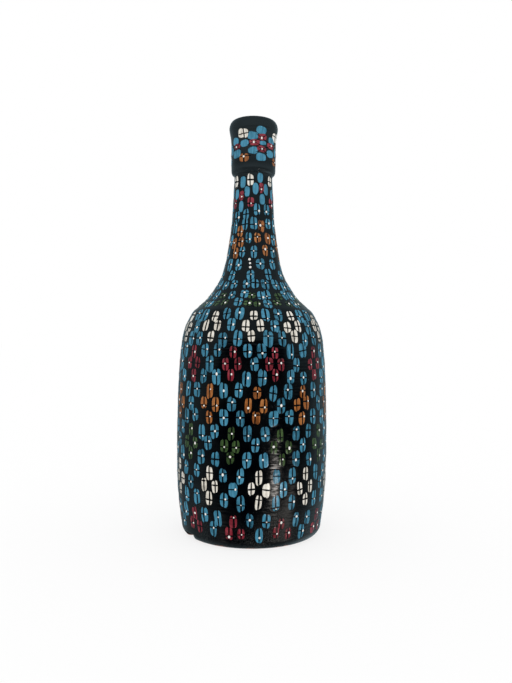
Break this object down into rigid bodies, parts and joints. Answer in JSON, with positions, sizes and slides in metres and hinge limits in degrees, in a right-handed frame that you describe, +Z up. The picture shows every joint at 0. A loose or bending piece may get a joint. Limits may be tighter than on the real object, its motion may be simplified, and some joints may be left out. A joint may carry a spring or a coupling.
{
  "type": "pottery bottle vase",
  "caption": "Tall round clay bottle vase with a narrow neck and a banded, flared mouth, painted all over with small flowers on a glossy black coat.",
  "frame": {"origin": "centre of the plane that the foot rests on", "axes": "+Z up along the vase's axis, towards the mouth; -Y is the side that faces the viewer"},
  "size_m": [0.1008, 0.1008, 0.2766],
  "materials": {
    "black_coat": "gloss varnish over black paint",
    "fired_clay": "bare, matt, where the coat is worn and inside",
    "blue_paint": "brushed, under varnish",
    "red_paint": "brushed, under varnish",
    "orange_paint": "brushed, under varnish",
    "green_paint": "brushed, under varnish",
    "cream_paint": "brushed, under varnish"
  },
  "bodies": {
    "root": {"floor_slab": "black_coat", "body_wall": "black_coat", "shoulder": "black_coat", "neck": "black_coat", "mouth_collar": "black_coat"}
  },
  "joints": []
}
